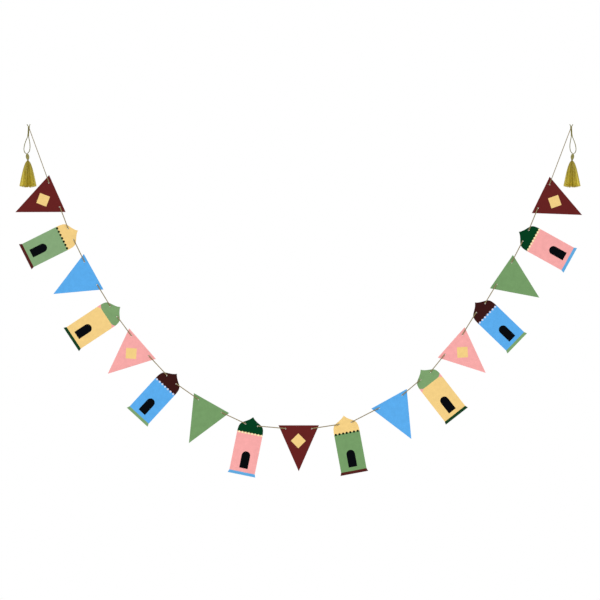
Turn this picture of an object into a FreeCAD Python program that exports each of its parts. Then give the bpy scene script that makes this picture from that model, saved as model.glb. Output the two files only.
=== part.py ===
"""Paper bunting garland: printed card flags threaded on one twine, with a gold tassel at each end.

Pennants and domed towers take turns along the twine, which hangs in one slack curve between two
ties. Each flag is a die-cut card with two punched holes. The twine comes over the front of the
card, goes down through the first hole, runs behind and comes back up through the second, so the
card hangs square to it. At a tie, gold thread binds the twine's end to the two strands of a
tassel's cord, and the cord's two short tails stand up above it.

Frame, in millimetres: the origin lies between the left tie's two tails, level with their tips. +X
points to the right tie, +Z is up, and the flags face -Y. All the cards lie in the plane Y = 0.
"""
import FreeCAD, Part
import itertools
import math
import os

from FreeCAD import Vector

# ---------------------------------------------------------------- driving dimensions, mm and degrees
CARD_THICKNESS = 0.4
HOLE_DIAMETER = 4.8                 # a small paper punch

PENNANT_WIDTH = 141.0
PENNANT_HEIGHT = 160.0
PENNANT_HOLE_PITCH = 91.0
PENNANT_HOLE_DROP = 11.3            # from the top edge down to the hole's centre

TOWER_WIDTH = 90.0
TOWER_BODY_HEIGHT = 133.0
TOWER_DOME_HEIGHT = 61.5
TOWER_BASE_HEIGHT = 10.5
TOWER_BASE_WIDTH = 98.0             # at the foot; the base narrows to the tower's width
TOWER_HOLE_PITCH = 43.0
TOWER_HOLE_DROP = 27.8              # from the dome's tip down to the hole's centre

TWINE_DIAMETER = 3.0
TWINE_CLEARANCE = 1.0               # between the twine and the face of a card
TWINE_HOLE_CLEARANCE = 0.45         # between the twine and the rim of the hole that it bears on
TWINE_TURN_SHARE = 0.70             # how far out of a hole's middle the twine turns along the card,
                                    # as a share of the hole's radius

TIE_SPAN = 1883.6                   # from the left tie to the right one
CORD_DIAMETER = 2.6                 # the gold cord of a tassel
STRAND_GAP = 0.1                    # between cords that lie side by side

BINDING_WALL = 0.6                  # gold thread wound over the cords
TWINE_BINDING_HEIGHT = 5.4          # round the strands and the twine's end
TWINE_BINDING_RISE = 0.4            # from the stem's top up to this binding's top
LOOP_BINDING_HEIGHT = 4.0           # round the strands, where the loop closes
LOOP_BINDING_RISE = 2.0             # from the stem's foot to this binding

KNOB_FOOT = -124.0                  # the wound knob under the loop
KNOB_HEIGHT = 20.5
KNOB_RADIUS = 6.0
KNOB_END_RADIUS = 2.9
KNOB_LEAN = 7.5                     # its top leans outwards, over its foot
NECK_RADIUS = 2.4                   # the threads drawn together under the knob
NECK_LENGTH = 3.0
NECK_SEAT = 1.5                     # how far the threads reach up into the knob
NECK_BINDING_WALL = 0.7
NECK_BINDING_HEIGHT = 1.8
SKIRT_LENGTH = 91.5                 # from the neck to the hem at the skirt's side
SKIRT_RADIUS = 28.8
HEM_DROP = 5.5                      # the hem is this much lower at the middle
TASSEL_AXIS_X = -3.8                # the tassel hangs a little to the outside of its tie

# ---------------------------------------------------------------- how the garland hangs
# From each flag in turn: its design, its tilt clockwise from level, then the length of twine to the
# next flag and that stretch's slope downward. Lengths run from hole to hole.
FIRST_STRETCH = (202.9, 69.9)
FLAGS = [
    ("maroon_pennant", 66.0, 81.0, 69.0),
    ("green_tower", 63.5, 86.0, 64.0),
    ("blue_pennant", 61.0, 87.5, 58.5),
    ("yellow_tower", 56.5, 83.5, 53.5),
    ("pink_pennant", 49.0, 94.0, 47.0),
    ("blue_tower", 42.5, 95.0, 35.0),
    ("green_pennant", 29.5, 92.5, 25.0),
    ("pink_tower", 11.5, 97.5, 5.0),
    ("maroon_pennant", 0.0, 95.5, -8.5),
    ("green_tower", -10.5, 109.0, -27.0),
    ("blue_pennant", -29.0, 84.0, -40.0),
    ("yellow_tower", -38.0, 80.0, -50.5),
    ("pink_pennant", -48.5, 91.5, -58.0),
    ("blue_tower", -46.0, 78.5, -58.5),
    ("green_pennant", -55.5, 84.5, -62.5),
    ("pink_tower", -61.0, 83.5, -67.5),
    ("maroon_pennant", -64.0, None, None),
]

# The stem, where the cord's two strands run together: its axis from the tails down to the loop.
STEM_TOP = Vector(-0.6, 0.0, -9.0)
STEM_FOOT = Vector(-3.0, 0.0, -43.5)
TWINE_END_Z = -9.0                  # the twine's end lies on the stem's right strand, from here
TWINE_TIE_Z = -13.6                 # down to here, where it leaves the stem for the flags

# The cord's route, as (x, z): its tails up from the stem's top, and its loop down from the foot.
OUTER_TAIL_ROUTE = [(-3.6, -5.9), (-7.1, -1.2)]
INNER_TAIL_ROUTE = [(1.6, -5.5), (3.9, -1.0)]
OUTER_LOOP_ROUTE = [(-9.4, -54.5), (-13.7, -65.5), (-16.9, -78.5), (-18.1, -90.5), (-14.6, -99.6),
                    (-8.9, -103.1)]
INNER_LOOP_ROUTE = [(0.9, -54.0), (2.9, -65.5), (3.8, -77.5), (3.0, -88.5), (0.8, -96.0),
                    (-4.9, -101.4)]

# The cord's fold inside the knob: the strands enter it side by side, this high above its foot, and
# the right half of the fold follows, as (distance from the knob's axis, height above its foot).
FOLD_ENTRY_HEIGHT = 18.0
FOLD_ROUTE = [(3.8, 12.4), (3.9, 8.4), (1.8, 5.2)]

# How the bell's side bends: control points as shares of the skirt's radius and of its length.
BELL_SHOULDER = (0.42, 0.07)
BELL_FLANK = (0.66, 0.42)

# The dome's outline, from its foot to its tip, as shares of its half width and of its height: a
# convex Bezier curve, then a concave one that leaves it in the same direction.
DOME_SHOULDER = [(1.0, 0.0), (1.0, 0.504), (0.867, 0.553), (0.533, 0.691)]
DOME_TIP = [(0.533, 0.691), (0.310, 0.783), (0.111, 0.878), (0.0, 1.0)]


# ---------------------------------------------------------------- bent cords
def bent_path(points):
    """Straight runs through the points, joined by tangent arcs as large as the runs allow."""
    edges = []
    radii = []
    start = points[0]
    for before, corner, after in zip(points, points[1:], points[2:]):
        arriving = (corner - before).normalize()
        leaving = (after - corner).normalize()
        half_turn = arriving.getAngle(leaving) / 2
        tangent = 0.45 * min(before.distanceToPoint(corner), corner.distanceToPoint(after))
        radius = tangent / math.tan(half_turn)
        arc_start = corner - arriving * tangent
        arc_end = corner + leaving * tangent
        inward = (leaving - arriving).normalize()
        arc_middle = corner + inward * (radius / math.cos(half_turn) - radius)
        edges.append(Part.LineSegment(start, arc_start).toShape())
        edges.append(Part.Arc(arc_start, arc_middle, arc_end).toShape())
        radii.append(radius)
        start = arc_end
    edges.append(Part.LineSegment(start, points[-1]).toShape())
    return Part.Wire(edges), radii


def cord_tube(name, points, diameter):
    """A round tube along the bent path; its length, volume and bends are printed."""
    path, radii = bent_path(points)
    section = Part.Wire([Part.Circle(points[0], points[1] - points[0], diameter / 2).toShape()])
    solid = path.makePipeShell([section], True, False)
    ideal = math.pi * diameter ** 2 / 4 * path.Length
    print(f"{name}: length {path.Length:.1f}, volume {solid.Volume / ideal:.5f} of section times length")
    print(f"{name}: radii in diameters " + " ".join(f"{r / diameter:.1f}" for r in radii))
    return solid


# ---------------------------------------------------------------- flags
def pennant_outline():
    """A triangle hanging from its top edge; the origin is the middle of that edge."""
    half = PENNANT_WIDTH / 2
    return Part.makePolygon([Vector(-half, 0, 0), Vector(half, 0, 0),
                             Vector(0, 0, -PENNANT_HEIGHT), Vector(-half, 0, 0)])


def tower_outline():
    """A tower with a pointed dome and a flared base; the origin is the dome's tip."""
    half = TOWER_WIDTH / 2
    foot_half = TOWER_BASE_WIDTH / 2
    dome_foot = -TOWER_DOME_HEIGHT
    body_foot = dome_foot - TOWER_BODY_HEIGHT
    base_foot = body_foot - TOWER_BASE_HEIGHT
    edges = []
    for side in (-1, 1):
        for shares in (DOME_SHOULDER, DOME_TIP):
            curve = Part.BezierCurve()
            curve.setPoles([Vector(side * half * x, 0, dome_foot + TOWER_DOME_HEIGHT * z)
                            for x, z in shares])
            edges.append(curve.toShape())
        corners = [(half, dome_foot), (half, body_foot), (foot_half, base_foot), (0, base_foot)]
        for (x1, z1), (x2, z2) in zip(corners, corners[1:]):
            edges.append(Part.LineSegment(Vector(side * x1, 0, z1), Vector(side * x2, 0, z2)).toShape())
    return Part.Wire(Part.__sortEdges__(edges))


def card_flag(outline, hole_pitch, hole_drop):
    """The outline cut from card, centred on Y = 0, with its two punched holes."""
    card = Part.Face(outline).extrude(Vector(0, CARD_THICKNESS, 0))
    card.translate(Vector(0, -CARD_THICKNESS / 2, 0))
    for x in (-hole_pitch / 2, hole_pitch / 2):
        punch = Part.makeCylinder(HOLE_DIAMETER / 2, 2 * CARD_THICKNESS,
                                  Vector(x, -CARD_THICKNESS, -hole_drop), Vector(0, 1, 0))
        card = card.cut(punch)
    return card.Solids[0]


def flag_sizes(design):
    """Outline, hole pitch and hole drop of a design."""
    if design.endswith("pennant"):
        return pennant_outline(), PENNANT_HOLE_PITCH, PENNANT_HOLE_DROP
    return tower_outline(), TOWER_HOLE_PITCH, TOWER_HOLE_DROP


def downhill(length, slope):
    """A step of this length to the right, sloping down by this many degrees."""
    return Vector(length, 0, 0) * math.cos(math.radians(slope)) \
        - Vector(0, 0, length) * math.sin(math.radians(slope))


def twine_rise():
    """How far above the hole's centre the twine passes: the card's weight hangs the rim on it."""
    return HOLE_DIAMETER / 2 - TWINE_DIAMETER / 2 - TWINE_HOLE_CLEARANCE


def hang_flags():
    """Place every flag along the twine. Returns (name, solid) pairs, and where the twine passes
    through each flag as (left hole, right hole, tilt)."""
    flags = []
    passages = []
    tie = twine_end()[-1]
    place = Vector(tie.x, 0, tie.z) + downhill(*FIRST_STRETCH)
    for number, (design, tilt, stretch, slope) in enumerate(FLAGS, start=1):
        outline, pitch, drop = flag_sizes(design)
        card = card_flag(outline, pitch, drop)
        card.translate(Vector(pitch / 2, 0, drop - twine_rise()))
        card.rotate(Vector(), Vector(0, 1, 0), tilt)
        card.translate(place)
        flags.append((f"flag_{number:02d}_{design}", card))
        far_hole = place + downhill(pitch, tilt)
        passages.append((place, far_hole, tilt))
        if stretch is not None:
            place = far_hole + downhill(stretch, slope)
    return flags, passages


# ---------------------------------------------------------------- twine
def twine_end():
    """The twine's left end, from its tip down the front of the stem's right strand to the tie."""
    in_front = Vector(0, -(CORD_DIAMETER / 2 + STRAND_GAP + TWINE_DIAMETER / 2), 0)
    return [stem_point(z) + strand_offset() + in_front for z in (TWINE_END_Z, TWINE_TIE_Z)]


def at_right_end(point):
    """The same place on the right tassel, which is the left one's mirror image."""
    return Vector(TIE_SPAN - point.x, point.y, point.z)


def twine_route(passages):
    """In front of the cards between flags, behind each card between its two holes."""
    depth = CARD_THICKNESS / 2 + TWINE_DIAMETER / 2 + TWINE_CLEARANCE
    front = Vector(0, -depth, 0)
    behind = Vector(0, depth, 0)
    route = twine_end()
    for left, right, tilt in passages:
        along = downhill(TWINE_TURN_SHARE * HOLE_DIAMETER / 2, tilt)
        route += [left - along + front, left + along + behind,
                  right - along + behind, right + along + front]
    route += [at_right_end(point) for point in reversed(twine_end())]
    return route


# ---------------------------------------------------------------- tassels, drawn for the left end
def stem_point(z):
    """The point of the stem's axis at this height."""
    axis = STEM_FOOT - STEM_TOP
    return STEM_TOP + axis * ((z - STEM_TOP.z) / axis.z)


def strand_offset():
    """From the stem's axis to its right strand."""
    across = Vector(0, 1, 0).cross(STEM_TOP - STEM_FOOT).normalize()
    return across * (CORD_DIAMETER + STRAND_GAP) / 2


def knob_point(across, height):
    """A point of the knob's middle plane, across its axis and up the axis from its foot."""
    lean = math.radians(KNOB_LEAN)
    return (Vector(TASSEL_AXIS_X, 0, KNOB_FOOT) + Vector(-math.sin(lean), 0, math.cos(lean)) * height
            + Vector(math.cos(lean), 0, math.sin(lean)) * across)


def tassel_cord_route():
    """One cord: from the inner tail down the stem and the loop's inner side, round the fold in the
    knob, and back up the outer side to the outer tail."""
    offset = strand_offset()
    inner_tail, outer_tail, inner_side, outer_side = [
        [Vector(x, 0, z) for x, z in route]
        for route in (INNER_TAIL_ROUTE, OUTER_TAIL_ROUTE, INNER_LOOP_ROUTE, OUTER_LOOP_ROUTE)]
    half_fold = [(offset.Length, FOLD_ENTRY_HEIGHT)] + FOLD_ROUTE
    right_fold = [knob_point(across, height) for across, height in half_fold]
    left_fold = [knob_point(-across, height) for across, height in half_fold]
    return (inner_tail[::-1] + [STEM_TOP + offset, STEM_FOOT + offset] + inner_side
            + right_fold + left_fold[::-1]
            + outer_side[::-1] + [STEM_FOOT - offset, STEM_TOP - offset] + outer_tail)


def stem_binding(top_z, height, places, radius, cord):
    """Thread wound round the cords of the stem: a sleeve in line with it, filled between the cords
    and round at its corners. places are the cords' axes in the stem's section, as (across, y)."""
    axes = [Vector(x, y, -height / 2) for x, y in places]
    blocks = [Part.makeCylinder(radius, height, axis) for axis in axes]
    for start, end in itertools.combinations(axes, 2):
        out = (end - start).cross(Vector(0, 0, 1)).normalize() * radius
        flat = Part.makePolygon([start + out, end + out, end - out, start - out, start + out])
        blocks.append(Part.Face(flat).extrude(Vector(0, 0, height)))
    sleeve = blocks[0].fuse(blocks[1:]).removeSplitter()
    rims = [edge for edge in sleeve.Edges if abs(abs(edge.CenterOfMass.z) - height / 2) < 1e-6]
    sleeve = sleeve.makeFillet(BINDING_WALL / 2, rims)
    stem = STEM_TOP - STEM_FOOT
    sleeve.rotate(Vector(), Vector(0, 1, 0), math.degrees(math.atan2(stem.x, stem.z)))
    sleeve.translate(stem_point(top_z - height / 2))
    return sleeve.cut(cord).Solids[0]


def knob(cord, threads):
    """The wound knob, a leaning egg with flat ends, seated round the cord's fold and on the neck."""
    side = Part.Arc(Vector(KNOB_END_RADIUS, 0, KNOB_HEIGHT), Vector(KNOB_RADIUS, 0, KNOB_HEIGHT / 2),
                    Vector(KNOB_END_RADIUS, 0, 0)).toShape()
    rest = Part.makePolygon([Vector(KNOB_END_RADIUS, 0, 0), Vector(), Vector(0, 0, KNOB_HEIGHT),
                             Vector(KNOB_END_RADIUS, 0, KNOB_HEIGHT)])
    body = Part.Face(Part.Wire([side] + rest.Edges)).revolve(Vector(), Vector(0, 0, 1), 360)
    body.rotate(Vector(), Vector(0, 0, 1), 90)      # its seam faces away from the cord
    body.rotate(Vector(), Vector(0, 1, 0), -KNOB_LEAN)
    body.translate(knob_point(0, 0))
    return body.cut([cord, threads]).Solids[0]


def neck_binding(threads):
    """Thread wound round the neck, in the middle of the gap between the knob and the bell."""
    middle = Vector(TASSEL_AXIS_X, 0, KNOB_FOOT - NECK_LENGTH / 2)
    ring = Part.makeCylinder(NECK_RADIUS + NECK_BINDING_WALL, NECK_BINDING_HEIGHT,
                             middle - Vector(0, 0, NECK_BINDING_HEIGHT / 2))
    rims = [edge for edge in ring.Edges if isinstance(edge.Curve, Part.Circle)]
    return ring.makeFillet(NECK_BINDING_WALL / 3, rims).cut(threads).Solids[0]


def skirt():
    """The tassel's threads as one closed form: a neck, then a bell whose hem is lowest at the middle."""
    neck_top = KNOB_FOOT + NECK_SEAT
    bell_top = KNOB_FOOT - NECK_LENGTH
    hem = KNOB_FOOT - SKIRT_LENGTH
    belly = hem - HEM_DROP
    side = Part.BezierCurve()
    side.setPoles([Vector(NECK_RADIUS, 0, bell_top),
                   Vector(BELL_SHOULDER[0] * SKIRT_RADIUS, 0, bell_top - BELL_SHOULDER[1] * SKIRT_LENGTH),
                   Vector(BELL_FLANK[0] * SKIRT_RADIUS, 0, bell_top - BELL_FLANK[1] * SKIRT_LENGTH),
                   Vector(SKIRT_RADIUS, 0, hem)])
    under = Part.BezierCurve()
    under.setPoles([Vector(SKIRT_RADIUS, 0, hem), Vector(SKIRT_RADIUS / 2, 0, belly), Vector(0, 0, belly)])
    inside = Part.makePolygon([Vector(0, 0, belly), Vector(0, 0, neck_top),
                               Vector(NECK_RADIUS, 0, neck_top), Vector(NECK_RADIUS, 0, bell_top)])
    outline = Part.Wire([side.toShape(), under.toShape()] + inside.Edges)
    whole = Part.Face(outline).revolve(Vector(), Vector(0, 0, 1), 360).Solids[0]
    whole.translate(Vector(TASSEL_AXIS_X, 0, 0))
    return whole


def tassel():
    """(name, solid) pairs of the left tassel and its tie."""
    cord = cord_tube("tassel cord", tassel_cord_route(), CORD_DIAMETER)
    threads = skirt()
    strand = strand_offset().Length
    strands = [(-strand, 0), (strand, 0)]
    twine_place = (strand, twine_end()[0].y)
    twine_binding = stem_binding(STEM_TOP.z + TWINE_BINDING_RISE, TWINE_BINDING_HEIGHT,
                                 strands + [twine_place], TWINE_DIAMETER / 2 + BINDING_WALL, cord)
    loop_binding = stem_binding(STEM_FOOT.z + LOOP_BINDING_RISE + LOOP_BINDING_HEIGHT, LOOP_BINDING_HEIGHT,
                                strands, CORD_DIAMETER / 2 + BINDING_WALL, cord)
    return [
        ("tassel_cord", cord),
        ("twine_binding", twine_binding),
        ("loop_binding", loop_binding),
        ("tassel_knob", knob(cord, threads)),
        ("neck_binding", neck_binding(threads)),
        ("tassel_skirt", threads),
    ]


# ---------------------------------------------------------------- the whole garland
def main():
    nodes, passages = hang_flags()
    twine = cord_tube("twine", twine_route(passages), TWINE_DIAMETER)

    nodes.append(("twine", twine))
    for name, solid in tassel():
        mirrored = solid.mirror(Vector(TIE_SPAN / 2, 0, 0), Vector(1, 0, 0))
        for side, piece in (("left", solid), ("right", mirrored)):
            if name == "twine_binding":
                piece = piece.cut(twine).Solids[0]
            nodes.append((f"{side}_{name}", piece))

    os.makedirs("parts", exist_ok=True)
    for name, solid in nodes:
        if not solid.isValid() or len(solid.Solids) != 1:
            raise ValueError(f"{name} is not one valid solid")
        solid.exportStep(f"parts/{name}.step")


main()
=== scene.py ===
import math

import bpy
import numpy as np
from mathutils import Matrix, Vector, geometry


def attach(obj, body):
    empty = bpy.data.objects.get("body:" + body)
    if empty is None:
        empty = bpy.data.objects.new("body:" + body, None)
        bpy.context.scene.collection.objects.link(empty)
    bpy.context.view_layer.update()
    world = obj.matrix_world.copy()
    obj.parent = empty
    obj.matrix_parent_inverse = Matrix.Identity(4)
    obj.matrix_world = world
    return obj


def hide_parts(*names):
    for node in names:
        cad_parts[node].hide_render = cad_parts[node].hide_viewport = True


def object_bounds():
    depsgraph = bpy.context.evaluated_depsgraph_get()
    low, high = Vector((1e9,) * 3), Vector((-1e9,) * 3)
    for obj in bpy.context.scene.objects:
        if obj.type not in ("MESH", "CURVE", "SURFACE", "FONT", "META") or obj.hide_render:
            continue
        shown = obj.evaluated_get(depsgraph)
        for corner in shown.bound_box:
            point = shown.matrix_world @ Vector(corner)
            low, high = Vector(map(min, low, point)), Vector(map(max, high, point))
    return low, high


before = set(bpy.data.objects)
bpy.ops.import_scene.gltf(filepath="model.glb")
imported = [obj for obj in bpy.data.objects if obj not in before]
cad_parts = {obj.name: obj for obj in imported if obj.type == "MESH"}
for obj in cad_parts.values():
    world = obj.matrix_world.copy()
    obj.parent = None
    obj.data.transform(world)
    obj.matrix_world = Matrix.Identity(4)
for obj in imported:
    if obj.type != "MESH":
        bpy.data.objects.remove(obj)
cad_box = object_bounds()
MM = 0.001

# ---------------------------------------------------------------- the garland's sizes, mm and degrees
CARD_THICKNESS = 0.4
HOLE_RADIUS = 2.4
PENNANT_WIDTH, PENNANT_HEIGHT = 141.0, 160.0
PENNANT_HOLE_PITCH, PENNANT_HOLE_DROP = 91.0, 11.3
TOWER_WIDTH, TOWER_BASE_WIDTH = 90.0, 98.0
TOWER_DOME_HEIGHT, TOWER_BODY_HEIGHT, TOWER_BASE_HEIGHT = 61.5, 133.0, 10.5
TOWER_HEIGHT = TOWER_DOME_HEIGHT + TOWER_BODY_HEIGHT + TOWER_BASE_HEIGHT
TOWER_HOLE_PITCH, TOWER_HOLE_DROP = 43.0, 27.8
DOME_SHOULDER = [(1.0, 0.0), (1.0, 0.504), (0.867, 0.553), (0.533, 0.691)]
DOME_TIP = [(0.533, 0.691), (0.310, 0.783), (0.111, 0.878), (0.0, 1.0)]

SQUARE_REACH = 26.0                 # from a printed square's middle to its corners
DOOR_RADIUS, DOOR_SPRING = 15.0, 45.0   # of a printed door's arch, and how high the arch starts
DOOR_RISE = 23.5                    # of the door's foot above the card's
BLEED = 5.0                         # of the print above and below the card
BAND_REACH, BAND_CURVE = 50.0, 16.0     # from the middle, and the outer part that curves

GRID_PITCH = 6.3                    # of the points inside a card's mesh
PENNANT_BOW, TOWER_BOW = (0.25, 0.55), (0.12, 0.22)     # between the holes, least and most
CARD_CURL, CARD_TWIST, CARD_WAVE = (-1.6, 2.2), (-1.2, 1.2), 0.12
FIRST_CARD_DRAW = 100               # a card's random draw is this plus the flag's number

TIE_SPAN = 1883.6
TWINE_DIAMETER, CORD_DIAMETER = 3.0, 2.6
TWINE_FIBRE, CORD_FIBRE = 0.7, 0.3  # how much loose fibre swells the twine and the cords
TWINE_LAY, CORD_LAY = 11.0, 6.5     # the length of one turn of their plies
TWINE_STEP, CORD_STEP = 0.8, 0.5    # between the points that their plies follow
PLIES = 3
TWINE_SMOOTH = 195.0                # the length of each of the twine's ends that has no loose fibre
TWINE_TAPER = 12.0                  # in which the fibre then grows to its full thickness
TWINE_RISE = 0.45                   # of the twine above each hole's centre
TWINE_DEPTH = 2.7                   # of the twine's centre in front of the card, or behind it
TWINE_TURN = 1.68                   # out of a hole's middle, along the card
STRAND_GAP = 0.1                    # between the two strands of a tassel's stem

FIRST_STRETCH = (202.9, 69.9)
FLAGS = [                           # design, tilt, then the twine's length and slope to the next flag
    ("maroon_pennant", 66.0, 81.0, 69.0),
    ("green_tower", 63.5, 86.0, 64.0),
    ("blue_pennant", 61.0, 87.5, 58.5),
    ("yellow_tower", 56.5, 83.5, 53.5),
    ("pink_pennant", 49.0, 94.0, 47.0),
    ("blue_tower", 42.5, 95.0, 35.0),
    ("green_pennant", 29.5, 92.5, 25.0),
    ("pink_tower", 11.5, 97.5, 5.0),
    ("maroon_pennant", 0.0, 95.5, -8.5),
    ("green_tower", -10.5, 109.0, -27.0),
    ("blue_pennant", -29.0, 84.0, -40.0),
    ("yellow_tower", -38.0, 80.0, -50.5),
    ("pink_pennant", -48.5, 91.5, -58.0),
    ("blue_tower", -46.0, 78.5, -58.5),
    ("green_pennant", -55.5, 84.5, -62.5),
    ("pink_tower", -61.0, 83.5, -67.5),
    ("maroon_pennant", -64.0, None, None),
]
PALE_TOWER = 2                      # the flag that is printed in a paler green
MIDDLE_PENNANT, MIDDLE_SHIFT = 9, -1.4  # the flag whose square is off centre, and by how much

STEM_TOP = Vector((-0.6, 0.0, -9.0))
STEM_FOOT = Vector((-3.0, 0.0, -43.5))
TWINE_END_Z, TWINE_TIE_Z = -9.0, -13.6
OUTER_TAIL_ROUTE = [(-3.6, -5.9), (-7.1, -1.2)]
INNER_TAIL_ROUTE = [(1.6, -5.5), (3.9, -1.0)]
OUTER_LOOP_ROUTE = [(-9.4, -54.5), (-13.7, -65.5), (-16.9, -78.5), (-18.1, -90.5), (-14.6, -99.6),
                    (-8.9, -103.1)]
INNER_LOOP_ROUTE = [(0.9, -54.0), (2.9, -65.5), (3.8, -77.5), (3.0, -88.5), (0.8, -96.0),
                    (-4.9, -101.4)]
FOLD_ENTRY_HEIGHT = 18.0            # the cord's fold inside the knob
FOLD_ROUTE = [(3.8, 12.4), (3.9, 8.4), (1.8, 5.2)]
TWINE_BINDING_RISE, TWINE_BINDING_HEIGHT = 0.4, 5.4
LOOP_BINDING_RISE, LOOP_BINDING_HEIGHT = 2.0, 4.0
TASSEL_AXIS_X = -3.8
KNOB_FOOT, KNOB_HEIGHT, KNOB_RADIUS, KNOB_END_RADIUS = -124.0, 20.5, 6.0, 2.9
KNOB_LEAN = math.radians(7.5)
NECK_RADIUS, NECK_LENGTH = 2.4, 3.0
SKIRT_LENGTH, SKIRT_RADIUS, HEM_DROP = 91.5, 28.8, 5.5
BELL_SHOULDER, BELL_FLANK = (0.42, 0.07), (0.66, 0.42)


# ---------------------------------------------------------------- colours, as sRGB out of 255
CREAM = (243, 207, 133)
PINK = (246, 169, 167)
BLUE = (90, 171, 236)
GREEN = (116, 155, 102)
TOWER_GREEN = (124, 161, 109)
PALE_GREEN = (133, 167, 121)
MAROON = (101, 33, 32)
DARK_MAROON = (57, 21, 20)
BASE_MAROON = (82, 31, 28)
DARK_GREEN = (0, 60, 29)
BASE_GREEN = (20, 62, 34)
BASE_BLUE = (96, 170, 222)
INK = (3, 5, 10)
DOT_GREEN = (8, 28, 8)
DOT_LAVENDER = (206, 214, 238)
DOT_CREAM = (254, 236, 182)
PEACH = (247, 184, 160)
CARD_CORE = (232, 224, 208)
TWINE_TAN = (153, 138, 98)
GOLD_CORD = (120, 114, 16)
GOLD_WINDING = (145, 139, 78)
GOLD_CROSS = (161, 154, 88)
GOLD_THREADS = [(235, 217, 98), (217, 196, 62), (201, 177, 32), (170, 144, 12)]
# painted shade: the dark gold of the closed core inside the skirt, which stands for the shaded threads deep
# within it
SKIRT_CORE_SHADE = (110, 92, 14)
# painted shade: the skirt's threads are darker near the neck, where the knob and the packed threads shade
# them, and lighter towards the hem
THREAD_NECK_SHADE = [(0.0, 0.34), (22.0, 0.56), (55.0, 0.74), (96.0, 1.0)]    # mm along a thread, gain


def linear(rgb, gain=1.0):
    """Blender's linear colour for an sRGB one, made lighter or darker by gain."""
    def channel(value):
        value = value / 255
        return value / 12.92 if value <= 0.04045 else ((value + 0.055) / 1.055) ** 2.4
    return tuple(min(1.0, channel(value) * gain) for value in rgb) + (1.0,)


# ---------------------------------------------------------------- materials
def new_material(name):
    material = bpy.data.materials.new(name)
    material.use_nodes = True
    shader = material.node_tree.nodes["Principled BSDF"]
    return material, material.node_tree.nodes, material.node_tree.links, shader


def noise(nodes, links, coordinate, scale, detail, roughness=0.5, stretch=None):
    """A noise texture's value, on object coordinates or on UVs, which stretch can lengthen."""
    source = nodes.new("ShaderNodeTexCoord").outputs[coordinate]
    if stretch:
        mapping = nodes.new("ShaderNodeMapping")
        mapping.inputs["Scale"].default_value = stretch
        links.new(source, mapping.inputs["Vector"])
        source = mapping.outputs["Vector"]
    texture = nodes.new("ShaderNodeTexNoise")
    texture.inputs["Scale"].default_value = scale
    texture.inputs["Detail"].default_value = detail
    texture.inputs["Roughness"].default_value = roughness
    links.new(source, texture.inputs["Vector"])
    return texture.outputs[0]


def ramp(nodes, links, value, stops):
    """The value turned into a colour through these (position, colour) stops."""
    node = nodes.new("ShaderNodeValToRGB")
    elements = node.color_ramp.elements
    while len(elements) < len(stops):
        elements.new(0.5)
    for element, (position, colour) in zip(elements, stops):
        element.position = position
        element.color = colour
    links.new(value, node.inputs["Fac"])
    return node.outputs["Color"]


def spread(nodes, links, value, low, high):
    """The value's middle range spread between low and high."""
    node = nodes.new("ShaderNodeMapRange")
    node.inputs["From Min"].default_value = 0.3
    node.inputs["From Max"].default_value = 0.7
    node.inputs["To Min"].default_value = low
    node.inputs["To Max"].default_value = high
    links.new(value, node.inputs["Value"])
    return node.outputs["Result"]


def bump(nodes, links, height, strength, distance, shader):
    node = nodes.new("ShaderNodeBump")
    node.inputs["Strength"].default_value = strength
    node.inputs["Distance"].default_value = distance
    links.new(height, node.inputs["Height"])
    links.new(node.outputs["Normal"], shader.inputs["Normal"])


def paint_shade_along(nodes, links, colour, stops):
    """The colour made darker along a thread, through these (mm along it, gain) stops: painted shade."""
    reach = nodes.new("ShaderNodeSeparateXYZ")
    links.new(nodes.new("ShaderNodeTexCoord").outputs["UV"], reach.inputs["Vector"])
    share = nodes.new("ShaderNodeMath")
    share.operation = "DIVIDE"
    links.new(reach.outputs["Y"], share.inputs[0])
    share.inputs[1].default_value = stops[-1][0]
    gains = ramp(nodes, links, share.outputs[0],
                 [(along / stops[-1][0], (gain, gain, gain, 1.0)) for along, gain in stops])
    product = nodes.new("ShaderNodeVectorMath")
    product.operation = "MULTIPLY"
    links.new(colour, product.inputs[0])
    links.new(gains, product.inputs[1])
    return product.outputs["Vector"]


def printed_card(name, rgb):
    """Ink on smooth uncoated card: a faint mottle, paper fibre in the gloss and in the surface."""
    material, nodes, links, shader = new_material(name)
    mottle = noise(nodes, links, "Object", 55, 5, 0.62)
    fibre = noise(nodes, links, "Object", 1300, 3, 0.6)
    colour = ramp(nodes, links, mottle, [(0.34, linear(rgb, 0.955)), (0.66, linear(rgb, 1.045))])
    links.new(colour, shader.inputs["Base Color"])
    links.new(spread(nodes, links, fibre, 0.70, 0.86), shader.inputs["Roughness"])
    shader.inputs["Specular IOR Level"].default_value = 0.04
    bump(nodes, links, fibre, 0.35, 0.00006, shader)
    return material


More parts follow.
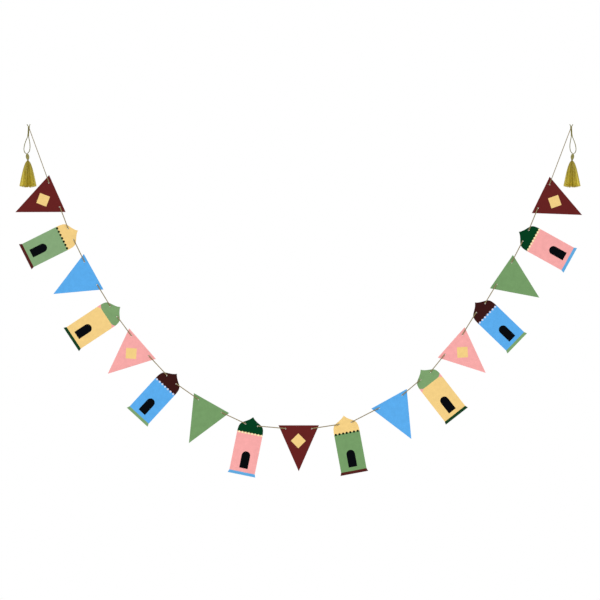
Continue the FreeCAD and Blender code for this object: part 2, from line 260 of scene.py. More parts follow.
def spun(name, rgb, contrast, roughness, sheen=0.0, shade_stops=()):
    """Spun or twisted fibre: streaks that run along the thread, in tone and in relief. Its last
    argument darkens it along its length, through these (mm along it, gain) stops, as painted shade."""
    material, nodes, links, shader = new_material(name)
    streaks = noise(nodes, links, "UV", 3.0, 4, 0.6, stretch=(1.0, 0.16, 1.0))
    stains = noise(nodes, links, "Object", 140, 3, 0.55)
    mixed = nodes.new("ShaderNodeMath")
    mixed.operation = "MULTIPLY_ADD"
    links.new(streaks, mixed.inputs[0])
    mixed.inputs[1].default_value = 0.65
    shade = nodes.new("ShaderNodeMath")
    shade.operation = "MULTIPLY"
    links.new(stains, shade.inputs[0])
    shade.inputs[1].default_value = 0.35
    links.new(shade.outputs[0], mixed.inputs[2])
    colour = ramp(nodes, links, mixed.outputs[0], [
        (0.32, linear(rgb, 1 - contrast)), (0.5, linear(rgb)), (0.68, linear(rgb, 1 + contrast))])
    if shade_stops:
        colour = paint_shade_along(nodes, links, colour, shade_stops)
    links.new(colour, shader.inputs["Base Color"])
    links.new(spread(nodes, links, streaks, roughness - 0.08, roughness + 0.08), shader.inputs["Roughness"])
    shader.inputs["Specular IOR Level"].default_value = 0.3
    shader.inputs["Sheen Weight"].default_value = sheen
    shader.inputs["Sheen Roughness"].default_value = 0.4
    shader.inputs["Sheen Tint"].default_value = linear(rgb, 1.5)
    bump(nodes, links, streaks, 0.5, 0.0001, shader)
    return material


# ---------------------------------------------------------------- how the garland hangs
def downhill(length, slope):
    """A step of this length to the right, sloping down by this many degrees."""
    return Vector((length * math.cos(math.radians(slope)), 0.0, -length * math.sin(math.radians(slope))))


def stem_point(z):
    axis = STEM_FOOT - STEM_TOP
    return STEM_TOP + axis * ((z - STEM_TOP.z) / axis.z)


def across_stem():
    """The direction from the stem's axis to its right strand."""
    return Vector((0.0, 1.0, 0.0)).cross(STEM_TOP - STEM_FOOT).normalized()


STRAND_OFFSET = across_stem() * (CORD_DIAMETER + STRAND_GAP) / 2
TWINE_IN_FRONT = CORD_DIAMETER / 2 + STRAND_GAP + TWINE_DIAMETER / 2
TWINE_END = [stem_point(z) + STRAND_OFFSET - Vector((0.0, TWINE_IN_FRONT, 0.0))
             for z in (TWINE_END_Z, TWINE_TIE_Z)]


def at_right_end(point):
    return Vector((TIE_SPAN - point[0], point[1], point[2]))


def beside_corner(corner, towards, other):
    """A point on the long straight run from this corner, as far out as the corner's other point."""
    return corner + (towards - corner).normalized() * (other - corner).length


def hang_flags():
    """Each flag's place as a matrix, and where the twine passes it."""
    places = []
    passages = []
    tie = TWINE_END[-1]
    place = Vector((tie.x, 0.0, tie.z)) + downhill(*FIRST_STRETCH)
    for design, tilt, stretch, slope in FLAGS:
        pennant = design.endswith("pennant")
        pitch = PENNANT_HOLE_PITCH if pennant else TOWER_HOLE_PITCH
        drop = PENNANT_HOLE_DROP if pennant else TOWER_HOLE_DROP
        places.append(Matrix.Translation(place) @ Matrix.Rotation(math.radians(tilt), 4, "Y")
                      @ Matrix.Translation((pitch / 2, 0.0, drop - TWINE_RISE)))
        far_hole = place + downhill(pitch, tilt)
        passages.append((place, far_hole, tilt))
        if stretch is not None:
            place = far_hole + downhill(stretch, slope)
    return places, passages


def twine_route(passages):
    """In front of the cards between flags, behind each card between its two holes. The long
    straight runs have a point near each turn, so that the twine bends only there."""
    front = Vector((0.0, -TWINE_DEPTH, 0.0))
    behind = Vector((0.0, TWINE_DEPTH, 0.0))
    corners = []
    for left, right, tilt in passages:
        along = downhill(TWINE_TURN, tilt)
        corners += [left - along + front, left + along + behind,
                    right - along + behind, right + along + front]
    right_end = [at_right_end(point) for point in reversed(TWINE_END)]
    route = TWINE_END + [beside_corner(TWINE_END[1], corners[0], TWINE_END[0])]
    for i in range(0, len(corners), 2):
        outside = corners[i - 1] if i else route[-1]
        inside = corners[i + 2] if i + 2 < len(corners) else right_end[0]
        route += [beside_corner(corners[i], outside, corners[i + 1]), corners[i],
                  corners[i + 1], beside_corner(corners[i + 1], inside, corners[i])]
    return route + [beside_corner(right_end[0], corners[-1], right_end[1])] + right_end


def knob_point(across, height, y=0.0):
    """A point of the leaning knob, across its axis and up the axis from its foot."""
    return (Vector((TASSEL_AXIS_X, y, KNOB_FOOT))
            + Vector((-math.sin(KNOB_LEAN), 0.0, math.cos(KNOB_LEAN))) * height
            + Vector((math.cos(KNOB_LEAN), 0.0, math.sin(KNOB_LEAN))) * across)


def tassel_cord_route():
    """One cord: from the inner tail down the stem and the loop's inner side, round the fold in the
    knob, and back up the outer side to the outer tail."""
    inner_tail, outer_tail, inner_side, outer_side = [
        [Vector((x, 0.0, z)) for x, z in route]
        for route in (INNER_TAIL_ROUTE, OUTER_TAIL_ROUTE, INNER_LOOP_ROUTE, OUTER_LOOP_ROUTE)]
    half_fold = [(STRAND_OFFSET.length, FOLD_ENTRY_HEIGHT)] + FOLD_ROUTE
    right_fold = [knob_point(across, height) for across, height in half_fold]
    left_fold = [knob_point(-across, height) for across, height in half_fold]
    down = [STEM_TOP + STRAND_OFFSET, STEM_FOOT + STRAND_OFFSET]
    up = [STEM_FOOT - STRAND_OFFSET, STEM_TOP - STRAND_OFFSET]
    return (inner_tail[::-1]
            + [down[0], beside_corner(down[0], down[1], inner_tail[0]),
               beside_corner(down[1], down[0], inner_side[0]), down[1]]
            + inner_side + right_fold + left_fold[::-1] + outer_side[::-1]
            + [up[0], beside_corner(up[0], up[1], outer_side[0]),
               beside_corner(up[1], up[0], outer_tail[0]), up[1]]
            + outer_tail)


# ---------------------------------------------------------------- lines and tubes
def spline_line(points):
    """The points, in mm, that Blender reads from the NURBS spline with this route's points."""
    curve = bpy.data.curves.new("route", "CURVE")
    curve.dimensions = "3D"
    spline = curve.splines.new("NURBS")
    spline.points.add(len(points) - 1)
    for target, point in zip(spline.points, points):
        target.co = (*point, 1.0)
    spline.order_u = 3
    spline.use_endpoint_u = True
    spline.resolution_u = 12
    holder = bpy.data.objects.new("route", curve)
    bpy.context.scene.collection.objects.link(holder)
    mesh = bpy.data.meshes.new_from_object(holder)
    line = np.array([vertex.co[:] for vertex in mesh.vertices])
    bpy.data.objects.remove(holder)
    bpy.data.curves.remove(curve)
    bpy.data.meshes.remove(mesh)
    return line


def distance_along(line):
    """How far each point of the line is from its start, along the line."""
    return np.concatenate([[0.0], np.cumsum(np.linalg.norm(np.diff(line, axis=0), axis=1))])


def evenly(line, step):
    """The same line with its points this far apart."""
    reach = distance_along(line)
    stations = np.linspace(0.0, reach[-1], max(2, round(reach[-1] / step)) + 1)
    return np.stack([np.interp(stations, reach, line[:, axis]) for axis in range(3)], axis=1)


def unit(vectors):
    return vectors / np.linalg.norm(vectors, axis=-1, keepdims=True)


def cross_frames(line):
    """Two directions across the line at each of its points, which turn no more than it does."""
    tangents = unit(np.gradient(line, axis=0))
    first = np.cross(tangents[0], (0.31, 0.87, 0.38))
    normals = np.empty_like(line)
    for i, tangent in enumerate(tangents):
        first = first - tangent * first.dot(tangent)
        first = first / math.sqrt(first.dot(first))
        normals[i] = first
    return normals, np.cross(tangents, normals)


def plied(line, diameter, lay):
    """The strands of a cord laid round the line, one turn in each lay, and their radii. The diameter
    is one number, or one for each point."""
    radii = np.broadcast_to(diameter, (len(line),)) / 2
    offset = radii / (1 + math.sin(math.pi / PLIES))
    normals, sides = cross_frames(line)
    reach = distance_along(line)
    strands = []
    for ply in range(PLIES):
        angle = (2 * math.pi * (reach / lay + ply / PLIES))[:, None]
        strands.append(line + offset[:, None] * (np.cos(angle) * normals + np.sin(angle) * sides))
    return strands, radii - offset


def tubes(name, threads, sides, materials):
    """One mesh of round closed tubes. A thread is (points in mm, radius or radii, material index);
    UVs run round it and along it."""
    vertices, faces, uvs, slots = [], [], [], []
    turn = 2 * math.pi * np.arange(sides) / sides
    for line, radius, slot in threads:
        rings = len(line)
        radii = np.broadcast_to(radius, (rings,))[:, None, None]
        normals, across = cross_frames(line)
        ring = (np.cos(turn)[None, :, None] * normals[:, None, :]
                + np.sin(turn)[None, :, None] * across[:, None, :])
        start = sum(len(block) for block in vertices)
        vertices.append((line[:, None, :] + radii * ring).reshape(-1, 3))
        reach = distance_along(line)
        phase = start * 0.0173
        for i in range(rings - 1):
            low, high = start + i * sides, start + (i + 1) * sides
            for j in range(sides):
                k = (j + 1) % sides
                faces.append((low + j, low + k, high + k, high + j))
                uvs += [(j / sides + phase, reach[i]), ((j + 1) / sides + phase, reach[i]),
                        ((j + 1) / sides + phase, reach[i + 1]), (j / sides + phase, reach[i + 1])]
        faces.append(tuple(range(start + sides - 1, start - 1, -1)))
        last = start + (rings - 1) * sides
        faces.append(tuple(range(last, last + sides)))
        uvs += [(phase, 0.0)] * sides + [(phase, reach[-1])] * sides
        slots += [slot] * ((rings - 1) * sides + 2)
    mesh = bpy.data.meshes.new(name)
    mesh.from_pydata(np.concatenate(vertices) * MM, [], faces)
    mesh.uv_layers.new(name="along").data.foreach_set("uv", np.array(uvs, np.float32).ravel())
    return dressed(name, mesh, materials, slots)


def dressed(name, mesh, materials, slots):
    """A smooth object of this mesh, with its materials."""
    for material in materials:
        mesh.materials.append(material)
    mesh.polygons.foreach_set("material_index", slots)
    mesh.polygons.foreach_set("use_smooth", [True] * len(mesh.polygons))
    mesh.update()
    piece = bpy.data.objects.new(name, mesh)
    bpy.context.scene.collection.objects.link(piece)
    return piece


def settle(piece, slot, *nodes):
    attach(piece, "root")
    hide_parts(*nodes)


# ---------------------------------------------------------------- the cards' outlines and print, mm
def bezier(poles, count):
    """Points along a cubic Bezier curve, without its last one."""
    p = np.array(poles)
    t = (np.arange(count) / count)[:, None]
    return ((1 - t) ** 3 * p[0] + 3 * (1 - t) ** 2 * t * p[1]
            + 3 * (1 - t) * t ** 2 * p[2] + t ** 3 * p[3])


def pennant_outline():
    half = PENNANT_WIDTH / 2
    return [(-half, 0.0), (0.0, -PENNANT_HEIGHT), (half, 0.0)]


def tower_outline():
    """Anticlockwise from the dome's tip, which is the origin."""
    half = TOWER_WIDTH / 2
    dome_foot = -TOWER_DOME_HEIGHT
    size = np.array([half, TOWER_DOME_HEIGHT])
    base = np.array([0.0, dome_foot])
    tip = bezier(DOME_TIP[::-1], 10) * size + base
    shoulder = bezier(DOME_SHOULDER[::-1], 16) * size + base
    right = [*map(tuple, tip), *map(tuple, shoulder), (half, dome_foot),
             (half, dome_foot - TOWER_BODY_HEIGHT), (TOWER_BASE_WIDTH / 2, -TOWER_HEIGHT)]
    left = [(-x, z) for x, z in right[:0:-1]]
    return [(-x, z) for x, z in right] + [(-x, z) for x, z in left]


def disc(x, z, radius, count=20):
    return [(x + radius * math.cos(2 * math.pi * i / count),
             z + radius * math.sin(2 * math.pi * i / count)) for i in range(count)]


def square_on_corner(x, z, reach):
    return [(x + reach, z), (x, z + reach), (x - reach, z), (x, z - reach)]


def doorway(x, foot):
    """A door with a round top."""
    spring = foot + DOOR_SPRING
    arch = [(x + DOOR_RADIUS * math.cos(math.pi * i / 16),
             spring + DOOR_RADIUS * math.sin(math.pi * i / 16)) for i in range(17)]
    return [(x - DOOR_RADIUS, foot), (x + DOOR_RADIUS, foot)] + arch


def band(low, high, rise=0.0, sink=0.0):
    """A band across the whole card. Its upper edge curves down by sink at both sides, and its lower
    edge up by rise."""
    def edge(height, lift):
        side = [(TOWER_WIDTH / 2 - BAND_CURVE * (1 - t), height + lift * t ** 2)
                for t in (0, .3, .5, .7, .85, 1)]
        return ([(-BAND_REACH, height + lift)] + [(-x, z) for x, z in reversed(side)]
                + side + [(BAND_REACH, height + lift)])
    return edge(low, rise) + edge(high, -sink)[::-1]


def row_of_dots(count, pitch, height, radius, shift):
    return [disc(shift + pitch * (i - (count - 1) / 2), height, radius) for i in range(count)]


def tower_print(joint, dome, base, dots, dot_colour, shift):
    """Fields over the body's colour, each covering those before it."""
    foot = -TOWER_HEIGHT
    fields = [(band(foot + joint, BLEED), dome), (band(foot - BLEED, foot + TOWER_BASE_HEIGHT), base),
              (doorway(shift, foot + DOOR_RISE), INK)]
    return fields + [(dot, dot_colour) for dot in dots]


def print_of(design, number):
    """The design's ground colour and the fields printed on it."""
    foot = -TOWER_HEIGHT
    if design == "maroon_pennant":
        shift = MIDDLE_SHIFT if number == MIDDLE_PENNANT else 0.0
        return MAROON, [(square_on_corner(shift, -54.0, SQUARE_REACH), CREAM)]
    if design == "pink_pennant":
        return PINK, [(square_on_corner(0.0, -52.0, SQUARE_REACH), CREAM)]
    if design == "blue_pennant":
        return BLUE, []
    if design == "green_pennant":
        return GREEN, []
    if design == "green_tower":
        dots = row_of_dots(7, 12.8, foot + 143.5, 4.0, -0.4)
        ground = PALE_GREEN if number == PALE_TOWER else GREEN
        return ground, tower_print(143.5, CREAM, BASE_MAROON, dots, DOT_GREEN, -0.4)
    if design == "blue_tower":
        dots = row_of_dots(7, 12.7, foot + 143.5, 3.4, 0.0)
        return BLUE, tower_print(144.5, DARK_MAROON, TOWER_GREEN, dots, DOT_LAVENDER, 0.0)
    if design == "pink_tower":
        dots = row_of_dots(8, 11.3, foot + 146.5, 3.3, 2.0)
        fields = [(band(foot + 143.6, foot + 149.0), PEACH)]
        return PINK, fields + tower_print(148.0, DARK_GREEN, BASE_BLUE, dots, DOT_CREAM, 2.0)
    return PINK, [(band(foot, foot + 146.0, sink=9.0), CREAM),
                  (band(foot + 146.0, BLEED, rise=9.0), TOWER_GREEN),
                  (band(foot - BLEED, foot + TOWER_BASE_HEIGHT), BASE_GREEN),
                  (doorway(-1.0, foot + DOOR_RISE), INK)]


def inside(polygon, points):
    """Which of the points lie in the polygon."""
    x, z = points[:, 0], points[:, 1]
    found = np.zeros(len(points), bool)
    for (x1, z1), (x2, z2) in zip(polygon, polygon[1:] + polygon[:1]):
        if z1 != z2:
            found ^= ((z1 > z) != (z2 > z)) & (x < (x2 - x1) * (z - z1) / (z2 - z1) + x1)
    return found


CARD_MATERIALS = {}


def ink(rgb):
    if rgb not in CARD_MATERIALS:
        CARD_MATERIALS[rgb] = printed_card("card_%d_%d_%d" % rgb, rgb)
    return CARD_MATERIALS[rgb]


def card_flag(number, design, place):
    """One die-cut card, printed on both sides, a little bowed by the twine and curled at its foot."""
    pennant = design.endswith("pennant")
    outline = pennant_outline() if pennant else tower_outline()
    height = PENNANT_HEIGHT if pennant else TOWER_HEIGHT
    hole_x = (PENNANT_HOLE_PITCH if pennant else TOWER_HOLE_PITCH) / 2
    hole_z = -(PENNANT_HOLE_DROP if pennant else TOWER_HOLE_DROP)
    holes = [disc(x, hole_z, HOLE_RADIUS, 28) for x in (-hole_x, hole_x)]
    ground, fields = print_of(design, number)

    # the flat sheet, cut along every field's edge
    points, edges = [], []
    for polygon in [outline, *holes, *(field for field, _ in fields)]:
        start = len(points)
        points += polygon
        edges += [(start + i, start + (i + 1) % len(polygon)) for i in range(len(polygon))]
    grid = np.array([(x + 0.37 * (z % 2), z) for z in np.arange(-height + 3.1, -2, GRID_PITCH)
                     for x in np.arange(-69.3, 70, GRID_PITCH)])
    points += [tuple(point) for point in grid[inside(outline, grid)]]
    corners = [Vector(point) for point in points]
    flat, _, triangles, *_ = geometry.delaunay_2d_cdt(corners, edges, [], 0, 1e-5)
    flat = np.array([point[:] for point in flat])
    triangles = np.array([tuple(t) for t in triangles])
    centres = flat[triangles].mean(axis=1)
    kept = inside(outline, centres) & ~inside(holes[0], centres) & ~inside(holes[1], centres)
    triangles, centres = triangles[kept], centres[kept]
    a, b, c = (flat[triangles[:, i]] for i in range(3))
    clockwise = (b - a)[:, 0] * (c - a)[:, 1] - (b - a)[:, 1] * (c - a)[:, 0] < 0
    triangles[clockwise] = triangles[clockwise][:, ::-1]
    used, triangles = np.unique(triangles, return_inverse=True)
    flat, triangles = flat[used], triangles.reshape(-1, 3)
    colours = [ground]
    slots = np.zeros(len(triangles), int)
    for field, colour in fields:
        if colour not in colours:
            colours.append(colour)
        slots[inside(field, centres)] = colours.index(colour)

    # bowed, curled and given its thickness
    seed = np.random.default_rng(FIRST_CARD_DRAW + number)
    bow = seed.uniform(*(PENNANT_BOW if pennant else TOWER_BOW))
    curl = seed.uniform(*CARD_CURL)
    twist = seed.uniform(*CARD_TWIST)
    x, z = flat[:, 0], flat[:, 1]
    fall = np.clip((hole_z - z) / height, 0.0, None)
    depth = (-bow * (1 - (x / hole_x) ** 2) + curl * fall ** 2 + twist * fall * x / hole_x / 2
             + CARD_WAVE * np.sin(x / 17 + seed.uniform(0, 6)) * np.sin(z / 23 + seed.uniform(0, 6)))
    count = len(flat)
    front = np.stack([x, depth - CARD_THICKNESS / 2, z], axis=1)
    back = np.stack([x, depth + CARD_THICKNESS / 2, z], axis=1)
    turn = np.array(place.to_3x3())
    vertices = (np.concatenate([front, back]) @ turn.T + np.array(place.translation)) * MM
    directed = {(int(t[i]), int(t[(i + 1) % 3])) for t in triangles for i in range(3)}
    rim = [(p, q) for p, q in directed if (q, p) not in directed]
    rim.sort()
    walls = [(q, p, p + count, q + count) for p, q in rim]
    faces = ([tuple(map(int, t)) for t in triangles]
             + [tuple(int(v) + count for v in t[::-1]) for t in triangles] + walls)
    mesh = bpy.data.meshes.new(f"card_{number:02d}_{design}")
    mesh.from_pydata(vertices, [], faces)
    materials = [ink(colour) for colour in colours] + [ink(CARD_CORE)]
    piece = dressed(mesh.name, mesh, materials,
                    [*slots.tolist(), *slots.tolist(), *[len(colours)] * len(walls)])
    rim_edges = {tuple(sorted(pair)) for p, q in rim for pair in ((p, q), (p + count, q + count))}
    sharp = mesh.attributes.new("sharp_edge", "BOOLEAN", "EDGE")
    sharp.data.foreach_set("value", [tuple(sorted(edge.vertices)) in rim_edges for edge in mesh.edges])
    settle(piece, f"{design}_card", f"flag_{number:02d}_{design}")


# ---------------------------------------------------------------- the flags and the twine
def twine_swelling(line):
    """How much loose fibre swells the twine at each of its points: not at all towards its two ends."""
    from_start = np.linspace(0.0, 1.0, len(line)) * TWINE_STEP * (len(line) - 1)
    from_end = np.minimum(from_start, from_start[-1] - from_start)
    return np.interp(from_end, [TWINE_SMOOTH, TWINE_SMOOTH + TWINE_TAPER], [0.0, TWINE_FIBRE])


places, passages = hang_flags()
for number, ((design, *_), place) in enumerate(zip(FLAGS, places), start=1):
    card_flag(number, design, place)

twine_tan = spun("twine_jute", TWINE_TAN, 0.2, 0.85)
gold_cord = spun("gold_twisted_cord", GOLD_CORD, 0.30, 0.5, sheen=0.2)
gold_winding = spun("gold_wound_thread", GOLD_WINDING, 0.25, 0.5, sheen=0.2)
gold_cross = spun("gold_crossed_thread", GOLD_CROSS, 0.22, 0.48, sheen=0.2)
# the skirt's threads, with painted shade that darkens them towards the neck
gold_threads = [spun(f"gold_thread_{i}", rgb, 0.22, 0.42, sheen=0.35, shade_stops=THREAD_NECK_SHADE)
                for i, rgb in enumerate(GOLD_THREADS)]
# the skirt's core, coloured dark with painted shade
shaded_skirt_core = spun("gold_thread_core_painted_shade", SKIRT_CORE_SHADE, 0.3, 0.7)

twine_line = evenly(spline_line(twine_route(passages)), TWINE_STEP)
strands, strand_radius = plied(twine_line, TWINE_DIAMETER + twine_swelling(twine_line), TWINE_LAY)
twine = tubes("jute_twine", [(strand, strand_radius, 0) for strand in strands], 6, [twine_tan])
settle(twine, "twine", "twine")


# ---------------------------------------------------------------- tassels
def helix(turns, steps, position):
    """Points of a winding: position(share of its length, angle in turns) gives each one."""
    count = int(turns * steps)
    return np.array([position(i / count, turns * i / count) for i in range(count + 1)])


def stem_winding(top_z, height, places, cord_radius, seed):
    """Thread wound side by side round the cords of the stem. places are the cords' axes in its
    section, as (across, y), anticlockwise."""
    thread, pitch = 0.3, 0.54
    radius = cord_radius + thread
    outline = []
    for before, here, after in zip(places[-1:] + places, places, places[1:] + places[:1]):
        start = math.atan2(before[0] - here[0], here[1] - before[1])
        turn = (math.atan2(here[0] - after[0], after[1] - here[1]) - start) % (2 * math.pi)
        outline += [(here[0] + radius * math.cos(start + turn * i / 8),
                     here[1] + radius * math.sin(start + turn * i / 8)) for i in range(9)]
    outline = np.array(outline + outline[:1])
    reach = distance_along(outline)
    axis = (STEM_FOOT - STEM_TOP).normalized()
    across = across_stem()
    top = stem_point(top_z)
    wobble = seed.uniform(-0.06, 0.06, 64)

    def position(share, turn):
        x, y = (np.interp((turn % 1) * reach[-1], reach, outline[:, i]) for i in (0, 1))
        down = thread + share * (height - 2 * thread) + wobble[int(turn) % 64]
        return top + across * x + Vector((0.0, y, 0.0)) + axis * down
    return helix((height - 2 * thread) / pitch, 30, position), thread, 0


def knob_radius(height):
    """The wound knob's radius at this height over its foot: an arc through its ends and middle."""
    bulge = KNOB_RADIUS - KNOB_END_RADIUS
    half = KNOB_HEIGHT / 2
    arc = (half ** 2 + bulge ** 2) / (2 * bulge)
    return KNOB_RADIUS - arc + math.sqrt(max(0.0, arc ** 2 - (height - half) ** 2))


def round_knob(radius, angle, height):
    return knob_point(radius * math.cos(angle), height, radius * math.sin(angle))


def knob_threads():
    """A close winding over the whole egg, and crossed threads over that."""
    thread, crossed_thread, crossings, margin = 0.5, 0.36, 7, 0.8

    def close(share, turn):
        height = thread + share * (KNOB_HEIGHT - 2 * thread)
        return round_knob(knob_radius(height) - thread, 2 * math.pi * turn, height)
    threads = [(helix(24, 26, close), thread, 0)]
    for way in (-1, 1):
        for start in range(crossings):
            def crossed(share, turn):
                height = margin + share * (KNOB_HEIGHT - 2 * margin)
                radius = knob_radius(height) - 0.2 + 0.12 * way * math.cos(math.pi * crossings * share)
                return round_knob(radius, 2 * math.pi * (way * turn + start / crossings), height)
            threads.append((helix(0.62, 60, crossed), crossed_thread, 1))
    return threads


def neck_threads():
    """Two turns of thread round the neck."""
    thread = 0.35

    def close(share, turn):
        angle = 2 * math.pi * turn
        radius = NECK_RADIUS + thread
        return (TASSEL_AXIS_X + radius * math.cos(angle), radius * math.sin(angle),
                KNOB_FOOT - 0.95 - 1.1 * share)
    return [(helix(2.2, 26, close), thread, 0)]


def bell(t, share):
    """A skirt layer's radius and height at t, from the neck to the hem; share is 1 for the outside."""
    top = KNOB_FOOT - NECK_LENGTH
    poles = [(NECK_RADIUS, top),
             (BELL_SHOULDER[0] * SKIRT_RADIUS, top - BELL_SHOULDER[1] * SKIRT_LENGTH),
             (BELL_FLANK[0] * SKIRT_RADIUS, top - BELL_FLANK[1] * SKIRT_LENGTH),
             (SKIRT_RADIUS, KNOB_FOOT - SKIRT_LENGTH)]
    weights = ((1 - t) ** 3, 3 * (1 - t) ** 2 * t, 3 * (1 - t) * t ** 2, t ** 3)
    radius = sum(w * p[0] for w, p in zip(weights, poles))
    height = sum(w * p[1] for w, p in zip(weights, poles))
    return radius * share, height - HEM_DROP * (1 - share ** 2) * t ** 3


# share of the bell, threads, locks they gather in, and a thread's radius
SKIRT_LAYERS = [(0.99, 150, 19, 0.56), (0.91, 120, 17, 0.56), (0.80, 90, 14, 0.56),
                (0.62, 50, 10, 0.56), (0.38, 26, 8, 0.56), (1.03, 46, 23, 0.3)]


def skirt_threads(seed):
    """Fine threads that hang in locks from the neck, on the bell's surface and inside it, and a few
    thin stray ones just outside it."""
    threads = []
    root = 0.6 * NECK_RADIUS
    for share, count, locks, thickness in SKIRT_LAYERS:
        lock_angle = 2 * math.pi * (np.arange(locks) + seed.uniform(-0.22, 0.22, locks)) / locks
        lock_tone = seed.integers(0, 4, locks)
        lock_sway = seed.uniform(-0.05, 0.05, locks)
        for i in range(count):
            lock = i % locks
            spread_out = seed.uniform(-0.44, 0.44) * 2 * math.pi / locks
            tone = int(np.clip(lock_tone[lock] + seed.choice([-1, 0, 0, 0, 1]), 0, 3))
            cut = seed.uniform(-1.2, 0.9)
            reach = share * seed.uniform(0.975, 1.015)
            wave, phase = seed.uniform(0.1, 0.5), seed.uniform(0, 6.3)
            line = [(TASSEL_AXIS_X + root * math.cos(lock_angle[lock]),
                     root * math.sin(lock_angle[lock]), KNOB_FOOT + 0.8)]
            for t in np.linspace(0.0, 1.0, 15):
                radius, z = bell(t, reach)
                gather = 0.55 + 0.45 * t
                angle = lock_angle[lock] + spread_out * gather + lock_sway[lock] * t
                angle += wave * math.sin(4.2 * t + phase) / max(radius, 4.0)
                radius -= 0.3 * t + 0.2 * (1 + math.sin(5.1 * t + 2 * phase)) * t
                line.append((TASSEL_AXIS_X + radius * math.cos(angle), radius * math.sin(angle),
                             z - cut * t ** 2))
            radii = thickness * (0.46 + 0.54 * np.clip(np.linspace(-0.07, 1.0, 16) * 2.2, 0.0, 1.0))
            threads.append((np.array(line), radii, tone))
    return threads


def closed_turning(name, profile, place, material, count=40):
    """A closed surface turned from (radius, height) points, its ends on the axis, and then placed."""
    vertices = [(r * math.cos(2 * math.pi * i / count), r * math.sin(2 * math.pi * i / count), z)
                for r, z in profile for i in range(count)]
    faces = [(p * count + i, (p - 1) * count + i,
              (p - 1) * count + (i + 1) % count, p * count + (i + 1) % count)
             for p in range(1, len(profile)) for i in range(count)]
    faces += [tuple(range(count - 1, -1, -1)),
              tuple(range((len(profile) - 1) * count, len(profile) * count))]
    mesh = bpy.data.meshes.new(name)
    mesh.from_pydata(np.array(vertices) * MM, [], faces)
    mesh.transform(place)
    uvs = [(vertex % count / count, vertices[vertex][2]) for face in faces for vertex in face]
    mesh.uv_layers.new(name="along").data.foreach_set("uv", np.array(uvs, np.float32).ravel())
    return dressed(name, mesh, [material], [0] * len(faces))


def moved(threads, side):
    """The threads as they are at the left end, or mirrored to the right end."""
    if side == "left":
        return threads
    return [(np.stack([TIE_SPAN - line[:, 0], line[:, 1], line[:, 2]], axis=1), radius, slot)
            for line, radius, slot in threads]


# the random draw of both tassels' threads, picked from many for where its locks are light and dark
TASSEL_DRAW = 35


def hang_tassel(side):
    """One tassel: its cord, its windings, and its skirt's threads, with a core in knob and skirt."""
    seed = np.random.default_rng(TASSEL_DRAW)
    axis_x = TASSEL_AXIS_X if side == "left" else TIE_SPAN - TASSEL_AXIS_X
    lean = -KNOB_LEAN if side == "left" else KNOB_LEAN
    route = tassel_cord_route()
    if side == "right":
        route = [at_right_end(point) for point in route]
    cord_line = evenly(spline_line(route), CORD_STEP)
    strands, strand_radius = plied(cord_line, CORD_DIAMETER + CORD_FIBRE, CORD_LAY)
    cord = tubes(f"{side}_loop_cord", [(strand, strand_radius, 0) for strand in strands], 8,
                 [gold_cord])
    settle(cord, "gold_cord", f"{side}_tassel_cord")

    offset = STRAND_OFFSET.length
    twine_winding = stem_winding(STEM_TOP.z + TWINE_BINDING_RISE, TWINE_BINDING_HEIGHT,
                                 [(-offset, 0.0), (offset, -TWINE_IN_FRONT), (offset, 0.0)],
                                 TWINE_DIAMETER / 2, seed)
    loop_winding = stem_winding(STEM_FOOT.z + LOOP_BINDING_RISE + LOOP_BINDING_HEIGHT,
                                LOOP_BINDING_HEIGHT, [(-offset, 0.0), (offset, 0.0)],
                                CORD_DIAMETER / 2, seed)
    for name, threads, node in (("twine_winding", [twine_winding], "twine_binding"),
                                ("loop_winding", [loop_winding], "loop_binding"),
                                ("knob_winding", knob_threads(), "tassel_knob"),
                                ("neck_winding", neck_threads(), "neck_binding")):
        piece = tubes(f"{side}_{name}", moved(threads, side), 6, [gold_winding, gold_cross])
        settle(piece, "gold_winding", f"{side}_{node}")

    knob_profile = [(knob_radius(height) - 0.9, height)
                    for height in np.linspace(0.4, KNOB_HEIGHT - 0.4, 18)]
    knob_place = (Matrix.Translation(Vector((axis_x, 0.0, KNOB_FOOT)) * MM)
                  @ Matrix.Rotation(lean, 4, "Y"))
    skirt = tubes(f"{side}_skirt_threads", moved(skirt_threads(seed), side), 5, gold_threads)
    settle(skirt, "tassel_threads", f"{side}_tassel_skirt")
    # the skirt's core: a closed bell inside the threads, dark with painted shade
    skirt_profile = [bell(t, 0.7) for t in np.linspace(0.985, 0.02, 20)]
    skirt_place = Matrix.Translation((axis_x * MM, 0.0, 0.0))
    for name, profile, place, material, slot in (
            ("knob_core", knob_profile, knob_place, gold_winding, "gold_winding"),
            ("shaded_skirt_core", skirt_profile, skirt_place, shaded_skirt_core, "tassel_threads")):
        core = closed_turning(f"{side}_{name}", profile, place, material)
        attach(core, "root")


for side in ("left", "right"):
    hang_tassel(side)


# ---------------------------------------------------------------- room, light and camera
AMBIENT, FLOOR_GLOW = 0.64, 0.6         # strength of the plain light, and the floor's share of white
FLOOR_DROP = 0.75                       # metres from the garland's lowest point down to the floor
FLOOR_HALF_WIDTH, FLOOR_FRONT, FLOOR_BACK = 5.0, -5.0, 2.2
CAMERA_PLACE, CAMERA_LENS = (0.9419, -8.0, -0.6116), 138.1
WHITE = (1.0, 1.0, 1.0, 1.0)

scene = bpy.context.scene
scene.view_settings.view_transform = "Standard"


def seen_directly(nodes, links):
    """1 for the camera's rays, and for those that a glossy or clear surface sends on."""
    path = nodes.new("ShaderNodeLightPath")
    total = path.outputs["Is Camera Ray"]
    for name in ("Is Glossy Ray", "Is Transmission Ray"):
        node = nodes.new("ShaderNodeMath")
        node.operation = "MAXIMUM"
        links.new(total, node.inputs[0])
        links.new(path.outputs[name], node.inputs[1])
        total = node.outputs[0]
    return total


def mixed_shader(nodes, links, share, first, second, target):
    mix = nodes.new("ShaderNodeMixShader")
    links.new(share, mix.inputs["Fac"])
    links.new(first, mix.inputs[1])
    links.new(second, mix.inputs[2])
    links.new(mix.outputs["Shader"], target)


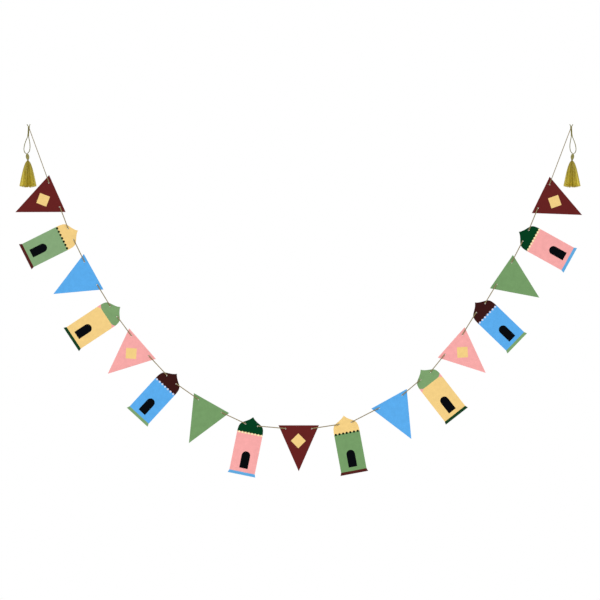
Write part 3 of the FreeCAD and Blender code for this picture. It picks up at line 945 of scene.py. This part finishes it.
def light_world():
    """Plain light from all round, and a white background."""
    world = bpy.data.worlds.new("studio")
    scene.world = world
    world.use_nodes = True
    nodes, links = world.node_tree.nodes, world.node_tree.links
    ambient = nodes["Background"]
    ambient.inputs["Color"].default_value = WHITE
    ambient.inputs["Strength"].default_value = AMBIENT
    white = nodes.new("ShaderNodeBackground")
    white.inputs["Color"].default_value = WHITE
    white.inputs["Strength"].default_value = 1.0
    mixed_shader(nodes, links, seen_directly(nodes, links), ambient.outputs["Background"],
                 white.outputs["Background"], nodes["World Output"].inputs["Surface"])


def lay_floor():
    """A pale floor well below the garland, which ends behind it."""
    material, nodes, links, shader = new_material("pale_floor")
    shader.inputs["Base Color"].default_value = (0.9, 0.9, 0.9, 1.0)
    shader.inputs["Roughness"].default_value = 0.9
    glow = nodes.new("ShaderNodeEmission")
    glow.inputs["Color"].default_value = WHITE
    share = nodes.new("ShaderNodeMath")
    share.operation = "MULTIPLY"
    links.new(seen_directly(nodes, links), share.inputs[0])
    share.inputs[1].default_value = FLOOR_GLOW
    mixed_shader(nodes, links, share.outputs[0], shader.outputs["BSDF"], glow.outputs["Emission"],
                 nodes["Material Output"].inputs["Surface"])
    middle = (cad_box[0] + cad_box[1]) / 2
    left, right = middle.x - FLOOR_HALF_WIDTH, middle.x + FLOOR_HALF_WIDTH
    z = cad_box[0].z - FLOOR_DROP
    mesh = bpy.data.meshes.new("floor")
    mesh.from_pydata([(left, FLOOR_FRONT, z), (right, FLOOR_FRONT, z),
                      (right, FLOOR_BACK, z), (left, FLOOR_BACK, z)], [], [(0, 1, 2, 3)])
    mesh.materials.append(material)
    floor = bpy.data.objects.new("floor", mesh)
    scene.collection.objects.link(floor)


def sun(name, strength, direction, softness):
    """A distant soft lamp that shines along this direction."""
    light = bpy.data.lights.new(name, "SUN")
    light.energy = strength
    light.angle = math.radians(softness)
    lamp = bpy.data.objects.new(name, light)
    lamp.rotation_euler = Vector(direction).to_track_quat("-Z", "Y").to_euler()
    scene.collection.objects.link(lamp)


light_world()
lay_floor()
sun("key", 1.10, (0.1, 1.0, -0.75), 12)
sun("back_fill", 0.9, (-0.35, -1.0, -0.55), 25)

camera_data = bpy.data.cameras.new("camera")
camera_data.sensor_width = 36.0
camera_data.lens = CAMERA_LENS
camera_data.clip_end = 100.0
camera = bpy.data.objects.new("camera", camera_data)
camera.location = CAMERA_PLACE
camera.rotation_euler = (math.pi / 2, 0.0, 0.0)
scene.collection.objects.link(camera)
scene.camera = camera
